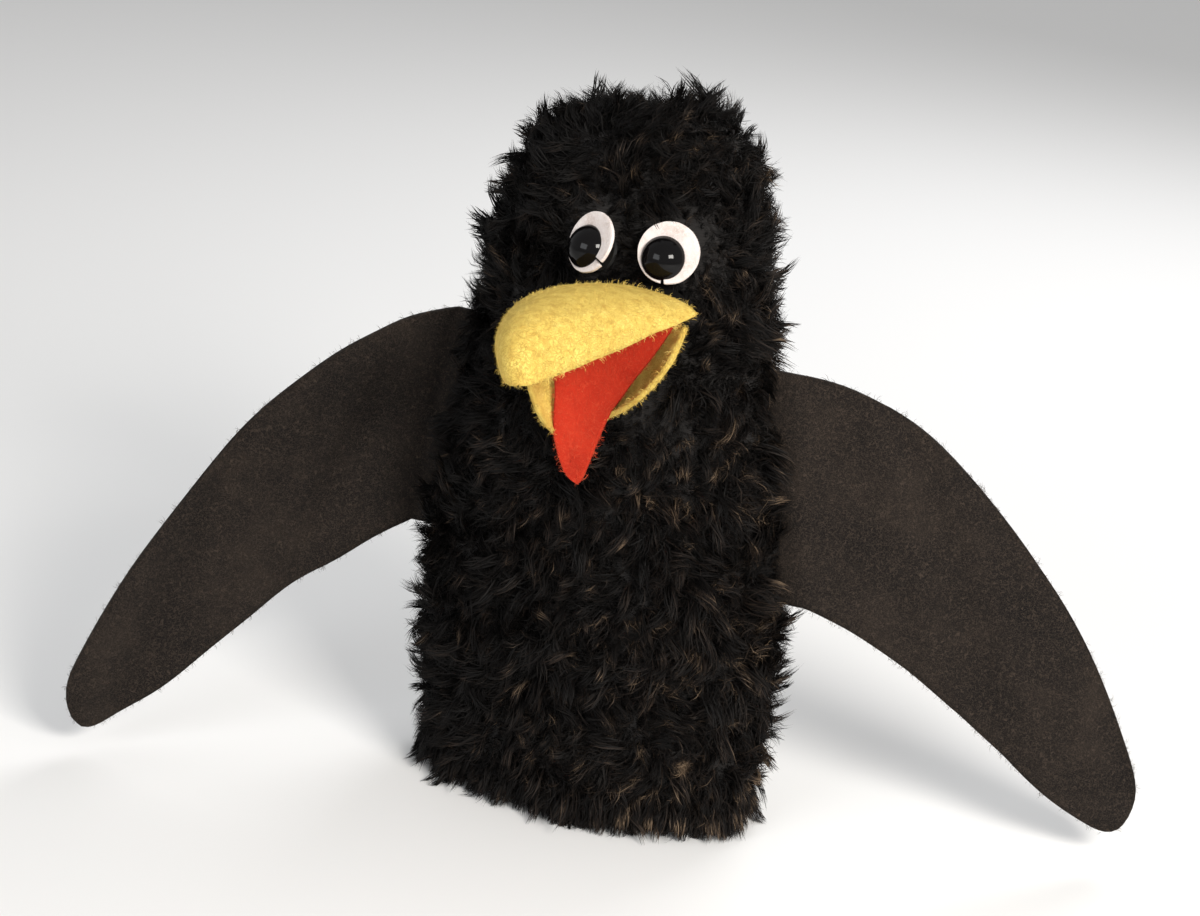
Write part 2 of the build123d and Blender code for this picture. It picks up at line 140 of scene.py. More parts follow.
def settle(piece):
    """The piece's modifiers are made into its mesh."""
    bpy.context.view_layer.update()
    seen = piece.evaluated_get(bpy.context.evaluated_depsgraph_get())
    done = bpy.data.meshes.new_from_object(seen)
    piece.modifiers.clear()
    old = piece.data
    piece.data = done
    done.name = old.name + "_done"
    bpy.data.meshes.remove(old)
    return piece


def thicken(piece, thickness, offset=0.0):
    """Gives a felt or cloth piece its thickness."""
    wall = piece.modifiers.new("wall", "SOLIDIFY")
    wall.thickness = thickness
    wall.offset = offset
    wall.use_even_offset = True
    return settle(piece)


def flat_colour(name, colour, roughness):
    """Material of one colour."""
    material = bpy.data.materials.new(name)
    material.use_nodes = True
    shader = material.node_tree.nodes["Principled BSDF"]
    shader.inputs["Base Color"].default_value = (*colour, 1)
    shader.inputs["Roughness"].default_value = roughness
    return material


knit = flat_colour("black_knit", (0.010, 0.0085, 0.008), 0.95)
knit_nodes = knit.node_tree.nodes
knit_links = knit.node_tree.links
knit_place = knit_nodes.new("ShaderNodeTexCoord")
knit_rows = knit_nodes.new("ShaderNodeTexWave")
knit_rows.bands_direction = "Z"
knit_rows.inputs["Scale"].default_value = 260
knit_rows.inputs["Distortion"].default_value = 3
knit_bump = knit_nodes.new("ShaderNodeBump")
knit_bump.inputs["Strength"].default_value = 0.6
knit_bump.inputs["Distance"].default_value = 0.0004
knit_links.new(knit_place.outputs["Object"], knit_rows.inputs["Vector"])
knit_links.new(knit_rows.outputs["Fac"], knit_bump.inputs["Height"])
knit_links.new(knit_bump.outputs["Normal"], knit_nodes["Principled BSDF"].inputs["Normal"])


def half_round(start_turn, levels):
    """Rows of points on the backing, each half way round the sleeve from start_turn."""
    columns = 64
    turns = [start_turn + 180 * i / columns for i in range(columns + 1)]
    return [[sleeve_spot(turn, level) for turn in turns] for level in levels]


height_steps = [hem_height + (crown_start - hem_height) * i / 58 for i in range(59)]
height_steps += [crown_start + 90 * i / 15 for i in range(1, 16)]
panel_starts = {"fur_front": 180, "fur_back": 0}
panels = {}
for name, start_turn in panel_starts.items():
    panels[name] = rows_to_object(name + "_backing", half_round(start_turn, height_steps))

# ---------------------------------------------------------------- shaggy pile
# Long curly pile of soft black fibre, with brown patches in it, that has clumped into pointed locks.
# It lies every way on the body, stands off the sides and the crown, is shorter round the eyes and
# behind the lower beak, and hangs down at the hem.
lock_kinds = 7
fur_spacing = 0.0024
tuft_spacing = 0.0066
hem_tuft_spacing = 0.0024
hang_height = 0.019
face_height = 0.198
eye_clearing = 0.019
eye_cover = 0.0090
eye_places = []
for eye in ("eye_disc_left", "eye_disc_right"):
    corner_a, corner_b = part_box(eye)
    eye_places.append((corner_a + corner_b) / 2)

pile = bpy.data.materials.new("black_pile")
pile.use_nodes = True
pile_nodes = pile.node_tree.nodes
pile_links = pile.node_tree.links
pile_map = pile_nodes.new("ShaderNodeUVMap")
pile_map.uv_map = "OFBake"
pile_split = pile_nodes.new("ShaderNodeSeparateXYZ")
pile_dye = pile_nodes.new("ShaderNodeValToRGB")
dye = pile_dye.color_ramp
dye.elements[0].position = 0.0
dye.elements[0].color = (0.0018, 0.0015, 0.0014, 1)
dye.elements[1].position = 1.0
dye.elements[1].color = (0.150, 0.104, 0.066, 1)
for place, red, green, blue in (
    (0.50, 0.0030, 0.0024, 0.0022),
    (0.66, 0.0075, 0.0055, 0.0045),
    (0.84, 0.026, 0.018, 0.0135),
):
    dye.elements.new(place).color = (red, green, blue, 1)
# Painted shade: each fibre is darkened towards its root, deep in the pile where the pile shades itself, and
# lightened towards its tip.
pile_root = pile_nodes.new("ShaderNodeMapRange")
pile_root.inputs["To Min"].default_value = 0.35
pile_root.inputs["To Max"].default_value = 1.25
pile_mix = pile_nodes.new("ShaderNodeMix")
pile_mix.data_type = "RGBA"
pile_mix.blend_type = "MULTIPLY"
pile_mix.inputs["Factor"].default_value = 1.0
pile_shader = pile_nodes["Principled BSDF"]
pile_shader.inputs["Roughness"].default_value = 0.62
pile_shader.inputs["Specular IOR Level"].default_value = 0.13
pile_links.new(pile_map.outputs["UV"], pile_split.inputs["Vector"])
pile_links.new(pile_split.outputs["X"], pile_root.inputs["Value"])
pile_links.new(pile_split.outputs["Y"], pile_dye.inputs["Fac"])
pile_links.new(pile_dye.outputs["Color"], pile_mix.inputs["A"])
pile_links.new(pile_root.outputs["Result"], pile_mix.inputs["B"])
pile_links.new(pile_mix.outputs["Result"], pile_shader.inputs["Base Color"])


def lock_of_fibres(name, seed, strands, length, spread, gather, lean, curl, width, segments=3):
    """A lock of fibres, rooted round the origin, rising along z and lying over towards x. gather is the
    share of its spread that the lock keeps at its point."""
    chance = np.random.default_rng(seed)
    spots = []
    faces = []
    shades = []
    for _ in range(strands):
        away = spread * math.sqrt(chance.random())
        turn = chance.uniform(0, 2 * math.pi)
        root = np.array([away * math.cos(turn), away * math.sin(turn), -0.0006])
        long = length * chance.uniform(0.72, 1.0)
        swing = chance.uniform(0, 2 * math.pi)
        face_turn = chance.uniform(0, math.pi)
        across = np.array([math.sin(face_turn), math.cos(face_turn), 0.0])
        shade = chance.random()
        start = len(spots)
        for k in range(segments + 1):
            t = k / segments
            swung = swing + 4.2 * t
            sway_x = math.sin(swung) - math.sin(swing)
            sway_y = math.cos(swung) - math.cos(swing)
            bend = curl * np.array([sway_x, sway_y, 0.0])
            middle = root * np.array([1, 1, 1 - t]) * (1 - (1 - gather) * t)
            middle = middle + long * np.array([lean * t**1.6, 0, t * (1 - 0.38 * lean * t)]) + bend * t
            half = width / 2 * (1 - 0.55 * t)
            if k < segments:
                spots += [middle - across * half, middle + across * half]
            else:
                spots.append(middle)
        for k in range(segments):
            a = start + 2 * k
            faces.append([a, a + 1, a + 3, a + 2] if k < segments - 1 else [a, a + 1, a + 2])
            shades.append((k, shade))
    mesh = bpy.data.meshes.new(name)
    mesh.from_pydata([tuple(p) for p in spots], [], faces)
    fibre_map = mesh.uv_layers.new(name="OFBake")
    for polygon, (k, shade) in zip(mesh.polygons, shades):
        polygon.use_smooth = True
        for corner, place in zip(polygon.loop_indices, (0, 0, 1, 1)):
            fibre_map.data[corner].uv = ((k + place) / segments, shade)
    return bpy.data.objects.new(name, mesh)


def lock_collection(name, count, **sizes):
    """A set of locks that differ, to scatter."""
    group = bpy.data.collections.new(name)
    for i in range(count):
        group.objects.link(lock_of_fibres(f"{name}_{i}", seed=40 + i, **sizes))
    return group


def scatter_tree(name):
    """Nodes that plant locks over a surface. The surface carries nap, the way they lie, pile, their
    length, and cover, how thickly they stand."""
    tree = bpy.data.node_groups.new(name, "GeometryNodeTree")
    for label, kind in (
        ("Surface", "NodeSocketGeometry"),
        ("Locks", "NodeSocketCollection"),
        ("Spacing", "NodeSocketFloat"),
        ("Unruly", "NodeSocketFloat"),
        ("Seed", "NodeSocketInt"),
        ("Material", "NodeSocketMaterial"),
    ):
        tree.interface.new_socket(label, in_out="INPUT", socket_type=kind)
    tree.interface.new_socket("Pile", in_out="OUTPUT", socket_type="NodeSocketGeometry")
    add = tree.nodes.new
    link = tree.links.new
    given = add("NodeGroupInput").outputs

    def value_of(attribute, kind):
        node = add("GeometryNodeInputNamedAttribute")
        node.data_type = kind
        node.inputs["Name"].default_value = attribute
        return node.outputs["Attribute"]

    def chance(kind, low, high, extra):
        node = add("FunctionNodeRandomValue")
        node.data_type = kind
        shifted = add("ShaderNodeMath")
        shifted.operation = "ADD"
        shifted.inputs[1].default_value = extra
        link(given["Seed"], shifted.inputs[0])
        link(shifted.outputs[0], node.inputs["Seed"])
        ends = [s for s in node.inputs if s.name in ("Min", "Max") and s.enabled]
        ends[0].default_value = low
        ends[1].default_value = high
        return [s for s in node.outputs if s.enabled][0]

    plant = add("GeometryNodeDistributePointsOnFaces")
    plant.distribute_method = "POISSON"
    plant.inputs["Density Max"].default_value = 900000
    link(given["Surface"], plant.inputs["Mesh"])
    link(given["Spacing"], plant.inputs["Distance Min"])
    link(given["Seed"], plant.inputs["Seed"])
    link(value_of("cover", "FLOAT"), plant.inputs["Density Factor"])

    lay = add("FunctionNodeAlignRotationToVector")
    lay.axis = "X"
    lay.pivot_axis = "Z"
    link(plant.outputs["Rotation"], lay.inputs["Rotation"])
    link(value_of("nap", "FLOAT_VECTOR"), lay.inputs["Vector"])
    stray = add("ShaderNodeVectorMath")
    stray.operation = "SCALE"
    link(chance("FLOAT_VECTOR", (-1, -1, -1), (1, 1, 1), 1), stray.inputs[0])
    link(given["Unruly"], stray.inputs["Scale"])
    tousle = add("FunctionNodeRotateRotation")
    tousle.rotation_space = "LOCAL"
    link(lay.outputs["Rotation"], tousle.inputs["Rotation"])
    link(stray.outputs["Vector"], tousle.inputs["Rotate By"])

    length = add("ShaderNodeMath")
    length.operation = "MULTIPLY"
    link(value_of("pile", "FLOAT"), length.inputs[0])
    link(chance("FLOAT", 0.78, 1.22, 2), length.inputs[1])

    locks = add("GeometryNodeCollectionInfo")
    locks.inputs["Separate Children"].default_value = True
    locks.inputs["Reset Children"].default_value = True
    link(given["Locks"], locks.inputs["Collection"])
    mark = add("GeometryNodeStoreNamedAttribute")
    mark.data_type = "FLOAT"
    mark.domain = "POINT"
    mark.inputs["Name"].default_value = "shade"
    link(plant.outputs["Points"], mark.inputs["Geometry"])
    link(chance("FLOAT", 0.0, 1.0, 3), mark.inputs["Value"])
    planted = add("GeometryNodeInstanceOnPoints")
    planted.inputs["Pick Instance"].default_value = True
    link(mark.outputs["Geometry"], planted.inputs["Points"])
    link(locks.outputs["Instances"], planted.inputs["Instance"])
    link(chance("INT", 0, 500, 4), planted.inputs["Instance Index"])
    link(tousle.outputs["Rotation"], planted.inputs["Rotation"])
    link(length.outputs[0], planted.inputs["Scale"])
    real = add("GeometryNodeRealizeInstances")
    finish = add("GeometryNodeSetMaterial")
    link(planted.outputs["Instances"], real.inputs["Geometry"])
    link(real.outputs["Geometry"], finish.inputs["Geometry"])
    link(given["Material"], finish.inputs["Material"])
    link(finish.outputs["Geometry"], add("NodeGroupOutput").inputs["Pile"])
    return tree


scatter = scatter_tree("planted_locks")


def plant_pile(name, surface, locks, spacing, unruly, seed, material, shade_at):
    """Plants locks over the surface object and returns them as one plain mesh piece. shade_at gives the
    patchy part of the fibres' shade at a point."""
    modifier = surface.modifiers.new("pile", "NODES")
    modifier.node_group = scatter
    for label, value in (
        ("Locks", locks),
        ("Spacing", spacing),
        ("Unruly", unruly),
        ("Seed", seed),
        ("Material", material),
    ):
        modifier[scatter.interface.items_tree[label].identifier] = value
    bpy.context.view_layer.update()
    seen = surface.evaluated_get(bpy.context.evaluated_depsgraph_get())
    mesh = bpy.data.meshes.new_from_object(seen)
    surface.modifiers.remove(modifier)
    mesh.name = name
    count = len(mesh.vertices)
    spots = np.empty(count * 3, np.float32)
    mesh.vertices.foreach_get("co", spots)
    spots = spots.reshape(-1, 3)
    spots[:, 2] = np.maximum(spots[:, 2], 0.0004)
    mesh.vertices.foreach_set("co", spots.ravel())
    shade = np.empty(count, np.float32)
    mesh.attributes["shade"].data.foreach_get("value", shade)
    patch = shade_at(spots)
    corners = np.empty(len(mesh.loops), np.int32)
    mesh.loops.foreach_get("vertex_index", corners)
    fibre_map = mesh.uv_layers["OFBake"]
    places = np.empty(len(mesh.loops) * 2, np.float32)
    fibre_map.data.foreach_get("uv", places)
    places = places.reshape(-1, 2)
    places[:, 1] = np.clip(0.42 * places[:, 1] + 0.30 * shade[corners] + patch[corners], 0.01, 0.99)
    fibre_map.data.foreach_set("uv", places.ravel())
    mesh.attributes.remove(mesh.attributes["shade"])
    piece = bpy.data.objects.new(name, mesh)
    bpy.context.scene.collection.objects.link(piece)
    return piece


def lay_fur(surface):
    """Writes on a piece of backing which way its pile lies, how long it is and where it is missing."""
    mesh = surface.data
    for label, kind in (("nap", "FLOAT_VECTOR"), ("pile", "FLOAT"), ("cover", "FLOAT")):
        mesh.attributes.new(label, kind, "POINT")
    nap, length, cover = (mesh.attributes[label] for label in ("nap", "pile", "cover"))
    for vertex in mesh.vertices:
        spot = vertex.co
        outward = Vector((spot.x / sleeve_half_width**2, spot.y / sleeve_half_depth**2, 0)).normalized()
        swirl = noise.noise_vector(spot * 62)
        lie = Vector((0, 0, -0.35)) + swirl * 1.4
        if spot.z > face_height:
            lie = Vector((0, 0, 0.1)) + swirl * 1.4
        if spot.z < hang_height:
            lie = Vector((0, 0, -1)) + swirl * 0.35
        if abs(spot.x) > 0.8 * sleeve_half_width and spot.z > hang_height:
            lie += Vector((0, 0, 0.45))
        share = 1.0
        thick = 1.0
        for eye in eye_places:
            gap = spot - eye
            across = math.hypot(gap.x, gap.z)
            if gap.y < 0.02 and across < eye_clearing:
                lie = Vector((gap.x, 0, gap.z)).normalized() + swirl * 0.5
                share = min(share, 0.50 + 0.35 * max(0.0, 2 * across / eye_clearing - 1))
                if across < eye_cover:
                    thick = 0.0
        from_mouth = spot - mouth_place
        over_beak = from_mouth.z - 0.23 * from_mouth.x
        if spot.y < -0.02 and abs(from_mouth.x) < 0.042 and -0.062 < from_mouth.z < 0.012:
            share = min(share, 0.85)
            if abs(from_mouth.x) < 0.026 and -0.042 < from_mouth.z < -0.004:
                share = min(share, 0.5)
        if spot.y < -0.02 and abs(from_mouth.x) < 0.036 and 0.0 < over_beak < 0.026:
            lie = Vector((0, 0, -0.4)) + swirl * 1.2
        nap.data[vertex.index].vector = lie - outward * lie.dot(outward)
        length.data[vertex.index].value = share * (0.88 + 0.42 * noise.noise(spot * 95))
        cover.data[vertex.index].value = thick


def fur_patches_and_sheen(spots):
    """Brown patches in the pile, and one tuft low on the front that has gone tan. The pile is also made
    browner towards the hem and the bird's left side, where the key light falls: painted sheen."""
    x, y, z = spots.T
    # Painted sheen: the pile turns browner towards the bird's left side and the hem, where the light falls on
    # it; the 0.10 is the pile's own base tone.
    base_and_sheen = 0.10 + 0.10 * np.clip(x / 0.08, -0.6, 1) - 0.35 * np.clip(z - 0.128, -0.1, 0.12)
    curls = np.sin(x * 290 + 2.1 * np.sin(z * 170)) * np.cos(z * 250 + 1.7 * np.sin(x * 210 + y * 120))
    tan_tuft = np.exp(-((x - 0.052) ** 2 + (z - 0.034) ** 2) / 0.0030**2) * (y < 0)
    return base_and_sheen + 0.42 * np.clip(curls - 0.30, 0, 1) + 0.8 * tan_tuft


fur_locks = lock_collection(
    "fur_lock",
    lock_kinds,
    strands=16,
    length=0.0094,
    spread=0.0026,
    gather=0.42,
    lean=0.80,
    curl=0.0026,
    width=0.00042,
    segments=4,
)
long_tufts = lock_collection(
    "long_tuft",
    lock_kinds,
    strands=30,
    length=0.0150,
    spread=0.0029,
    gather=0.08,
    lean=0.80,
    curl=0.0012,
    width=0.00062,
    segments=4,
)
hem_tufts = lock_collection(
    "hem_tuft",
    lock_kinds,
    strands=22,
    length=0.0125,
    spread=0.0028,
    gather=0.08,
    lean=0.95,
    curl=0.0010,
    width=0.00066,
    segments=4,
)
quick_spread = 1.0
fur_regions = {
    "belly": (0.0, 0.074),
    "breast": (0.074, 0.140),
    "neck": (0.140, 0.205),
    "head": (0.205, 0.31),
}
for name, backing in panels.items():
    piles = []
    for region, (bottom, top) in fur_regions.items():
        part = backing.copy()
        part.data = backing.data.copy()
        bpy.context.scene.collection.objects.link(part)
        shape = bmesh.new()
        shape.from_mesh(part.data)
        outside = [f for f in shape.faces if not bottom <= f.calc_center_median().z < top]
        bmesh.ops.delete(shape, geom=outside, context="FACES")
        shape.to_mesh(part.data)
        shape.free()
        lay_fur(part)
        label = f"{name}_pile_{region}"
        spacing = fur_spacing * quick_spread
        piles.append(plant_pile(label, part, fur_locks, spacing, 0.75, 7 + len(piles), pile, fur_patches_and_sheen))
        bpy.data.objects.remove(part)
    lay_fur(backing)
    label = name + "_long_tufts"
    piles.append(plant_pile(label, backing, long_tufts, tuft_spacing, 0.62, 31, pile, fur_patches_and_sheen))
    hem = rows_to_object(name + "_hem_row", half_round(panel_starts[name], (0.0080, 0.0115, 0.0155)))
    lay_fur(hem)
    label = name + "_hem_tufts"
    piles.append(plant_pile(label, hem, hem_tufts, hem_tuft_spacing, 0.25, 53, pile, fur_patches_and_sheen))
    bpy.data.objects.remove(hem)
    for extra in ("nap", "pile", "cover"):
        backing.data.attributes.remove(backing.data.attributes[extra])
    thicken(backing, backing_thickness, -1.0)
    backing.data.materials.append(knit)
    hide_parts(name + "_panel")
    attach(backing, "body")
    for piece in piles:
        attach(piece, "body")

# ---------------------------------------------------------------- hem facing and crown padding
# A woven tape is turned up inside the hem, and a wad of polyester fibre keeps the crown round.
facing_cloth = flat_colour("black_tape", (0.005, 0.0045, 0.004), 0.95)
facing_cloth.node_tree.nodes["Principled BSDF"].inputs["Specular IOR Level"].default_value = 0.1
stuffing = flat_colour("polyester_fibre", (0.80, 0.79, 0.76), 0.95)
for node, material in (
    ("hem_facing", facing_cloth),
    ("mouth_seam_ring", facing_cloth),
    ("crown_padding", stuffing),
):
    frame["nodes"][node].data.materials.clear()
    frame["nodes"][node].data.materials.append(material)

# ---------------------------------------------------------------- felt wings
# Each wing is one flat cut of thick brown-black felt, its straight edge caught in the side seam of
# the sleeve. It hangs in soft folds from there, and its cut edges have gone woolly.
wing_felt_thickness = 0.0023


def felt_fibre_group():
    """Colour patches, curly fibres and a nap for felt."""
    tree = bpy.data.node_groups.new("felt_fibres", "ShaderNodeTree")
    for label, start in (("Patch Size", 60.0), ("Fibre Size", 900.0)):
        tree.interface.new_socket(label, in_out="INPUT", socket_type="NodeSocketFloat").default_value = start
    for label in ("Patches", "Fibres", "Nap"):
        tree.interface.new_socket(label, in_out="OUTPUT", socket_type="NodeSocketFloat")
    add = tree.nodes.new
    link = tree.links.new
    given = add("NodeGroupInput").outputs
    made = add("NodeGroupOutput").inputs
    place = add("ShaderNodeTexCoord").outputs["Object"]

    def cloud(scale, detail, rough, stir=0.0, times=1.0):
        node = add("ShaderNodeTexNoise")
        node.inputs["Detail"].default_value = detail
        node.inputs["Roughness"].default_value = rough
        node.inputs["Distortion"].default_value = stir
        size = add("ShaderNodeMath")
        size.operation = "MULTIPLY"
        size.inputs[1].default_value = times
        link(scale, size.inputs[0])
        link(place, node.inputs["Vector"])
        link(size.outputs[0], node.inputs["Scale"])
        return node.outputs["Fac"]

    def curls(scale, times, width):
        """Thin curving lines: the places where a cloud passes through its middle value."""
        middle = add("ShaderNodeMath")
        middle.operation = "SUBTRACT"
        middle.inputs[1].default_value = 0.5
        link(cloud(scale, 1.0, 0.5, 0.6, times), middle.inputs[0])
        away = add("ShaderNodeMath")
        away.operation = "ABSOLUTE"
        link(middle.outputs[0], away.inputs[0])
        line = add("ShaderNodeMapRange")
        line.inputs["From Max"].default_value = width
        line.inputs["To Min"].default_value = 1.0
        line.inputs["To Max"].default_value = 0.0
        link(away.outputs[0], line.inputs["Value"])
        return line.outputs["Result"]

    link(cloud(given["Patch Size"], 5.0, 0.65), made["Patches"])
    both = add("ShaderNodeMath")
    both.operation = "MAXIMUM"
    link(curls(given["Fibre Size"], 0.45, 0.035), both.inputs[0])
    link(curls(given["Fibre Size"], 1.0, 0.05), both.inputs[1])
    broken = add("ShaderNodeMath")
    broken.operation = "MULTIPLY"
    link(both.outputs[0], broken.inputs[0])
    link(cloud(given["Fibre Size"], 2.0, 0.6, 0.0, 0.35), broken.inputs[1])
    link(broken.outputs[0], made["Fibres"])
    raised = add("ShaderNodeMath")
    raised.operation = "ADD"
    link(broken.outputs[0], raised.inputs[0])
    link(cloud(given["Fibre Size"], 3.0, 0.7, 0.0, 1.6), raised.inputs[1])
    link(raised.outputs[0], made["Nap"])
    return tree


felt_fibres = felt_fibre_group()


def felt(name, dark, middle, light, fibre, patch_size, fibre_size, sheen, raise_by=0.0005):
    """Wool felt: patchy dye from dark to light, with fibres of their own colour lying on it."""
    material = bpy.data.materials.new(name)
    material.use_nodes = True
    nodes = material.node_tree.nodes
    link = material.node_tree.links.new
    group = nodes.new("ShaderNodeGroup")
    group.node_tree = felt_fibres
    group.inputs["Patch Size"].default_value = patch_size
    group.inputs["Fibre Size"].default_value = fibre_size
    dye = nodes.new("ShaderNodeValToRGB")
    dye.color_ramp.elements[0].position = 0.30
    dye.color_ramp.elements[0].color = (*dark, 1)
    dye.color_ramp.elements[1].position = 0.72
    dye.color_ramp.elements[1].color = (*light, 1)
    dye.color_ramp.elements.new(0.5).color = (*middle, 1)
    over = nodes.new("ShaderNodeMix")
    over.data_type = "RGBA"
    over.inputs["B"].default_value = (*fibre, 1)
    bump = nodes.new("ShaderNodeBump")
    bump.inputs["Strength"].default_value = 0.8
    bump.inputs["Distance"].default_value = raise_by
    shader = nodes["Principled BSDF"]
    shader.inputs["Roughness"].default_value = 0.93
    shader.inputs["Specular IOR Level"].default_value = 0.2
    shader.inputs["Sheen Weight"].default_value = sheen
    shader.inputs["Sheen Roughness"].default_value = 0.5
    shader.inputs["Sheen Tint"].default_value = (*light, 1)
    link(group.outputs["Patches"], dye.inputs["Fac"])
    link(group.outputs["Fibres"], over.inputs["Factor"])
    link(dye.outputs["Color"], over.inputs["A"])
    link(over.outputs["Result"], shader.inputs["Base Color"])
    link(group.outputs["Nap"], bump.inputs["Height"])
    link(bump.outputs["Normal"], shader.inputs["Normal"])
    return material


wing_felt = felt(
    "brown_black_felt",
    dark=(0.0040, 0.0031, 0.0027),
    middle=(0.0090, 0.0067, 0.0054),
    light=(0.0210, 0.0152, 0.0115),
    fibre=(0.080, 0.058, 0.043),
    patch_size=34,
    fibre_size=1150,
    sheen=0.10,
)


def cut_edge(node, outward):
    """Corners round the flat face of a CAD piece that looks along outward."""
    shape = bmesh.new()
    shape.from_mesh(frame["nodes"][node].data)
    bmesh.ops.remove_doubles(shape, verts=shape.verts, dist=0.000005)
    shape.normal_update()
    face_set = {f for f in shape.faces if f.normal.dot(outward) > 0.999}
    following = {}
    for face in face_set:
        for loop in face.loops:
            others = [f for f in loop.edge.link_faces if f is not face]
            if not others or others[0] not in face_set:
                following[loop.vert] = loop.link_loop_next.vert
    start = next(iter(following))
    corners = [start.co.copy()]
    step = following[start]
    while step is not start:
        corners.append(step.co.copy())
        step = following[step]
    shape.free()
    return corners


def even_steps(points, count):
    """The same path in equal steps."""
    lengths = [0.0]
    for a, b in zip(points, points[1:]):
        lengths.append(lengths[-1] + (b - a).length)
    made = []
    last = len(points) - 2
    for i in range(count + 1):
        target = lengths[-1] * i / count
        k = next((j for j in range(last) if lengths[j + 1] >= target), last)
        span = max(lengths[k + 1] - lengths[k], 1e-9)
        made.append(points[k].lerp(points[k + 1], (target - lengths[k]) / span))
    return made


def fibre_dye(name, dark, middle, light):
    """Material of loose fibres, each of its own shade."""
    material = bpy.data.materials.new(name)
    material.use_nodes = True
    nodes = material.node_tree.nodes
    link = material.node_tree.links.new
    place = nodes.new("ShaderNodeUVMap")
    place.uv_map = "OFBake"
    split = nodes.new("ShaderNodeSeparateXYZ")
    dye = nodes.new("ShaderNodeValToRGB")
    dye.color_ramp.elements[0].color = (*dark, 1)
    dye.color_ramp.elements[1].color = (*light, 1)
    dye.color_ramp.elements.new(0.35).color = (*middle, 1)
    nodes["Principled BSDF"].inputs["Roughness"].default_value = 0.8
    nodes["Principled BSDF"].inputs["Specular IOR Level"].default_value = 0.2
    link(place.outputs["UV"], split.inputs["Vector"])
    link(split.outputs["Y"], dye.inputs["Fac"])
    link(dye.outputs["Color"], nodes["Principled BSDF"].inputs["Base Color"])
    return material


def even_shade(spots):
    """Shade of fibres that are not patchy."""
    return np.full(len(spots), 0.15)


def grow_fuzz(name, surface, material, spacing, edge_reach, seed, thickness, field_cover=0.45):
    """Short loose fibres over both faces of a felt piece that is still to be thickened, thickest along
    its raw edges."""
    half_wall = thickness * 0.4
    part = surface.copy()
    part.data = surface.data.copy()
    bpy.context.scene.collection.objects.link(part)
    shape = bmesh.new()
    shape.from_mesh(part.data)
    other = bmesh.ops.duplicate(shape, geom=shape.verts[:] + shape.edges[:] + shape.faces[:])["geom"]
    bmesh.ops.reverse_faces(shape, faces=[f for f in other if isinstance(f, bmesh.types.BMFace)])
    shape.normal_update()
    for v in shape.verts:
        v.co += v.normal * half_wall
    edge_spots = [v for v in shape.verts if v.is_boundary]
    tree = KDTree(len(edge_spots))
    for i, v in enumerate(edge_spots):
        tree.insert(v.co, i)
    tree.balance()
    facts = []
    for v in shape.verts:
        _, i, away = tree.find(v.co)
        edge = edge_spots[i]
        inner = sum((f.calc_center_median() for f in edge.link_faces), Vector()) / len(edge.link_faces)
        near = max(0.0, 1 - away / edge_reach)
        lie = (edge.co - inner).normalized() * (0.3 + near) + noise.noise_vector(v.co * 400)
        facts.append((lie, 0.55 + 0.45 * near, field_cover + (1 - field_cover) * near))
    shape.to_mesh(part.data)
    shape.free()
    for label, kind in (("nap", "FLOAT_VECTOR"), ("pile", "FLOAT"), ("cover", "FLOAT")):
        part.data.attributes.new(label, kind, "POINT")
    nap, length, cover = (part.data.attributes[label] for label in ("nap", "pile", "cover"))
    for i, (lie, long, thick) in enumerate(facts):
        nap.data[i].vector = lie
        length.data[i].value = long
        cover.data[i].value = thick
    spacing *= 1.0
    grown = plant_pile(name, part, loose_fibres, spacing, 0.9, seed, material, even_shade)
    bpy.data.objects.remove(part)
    return grown


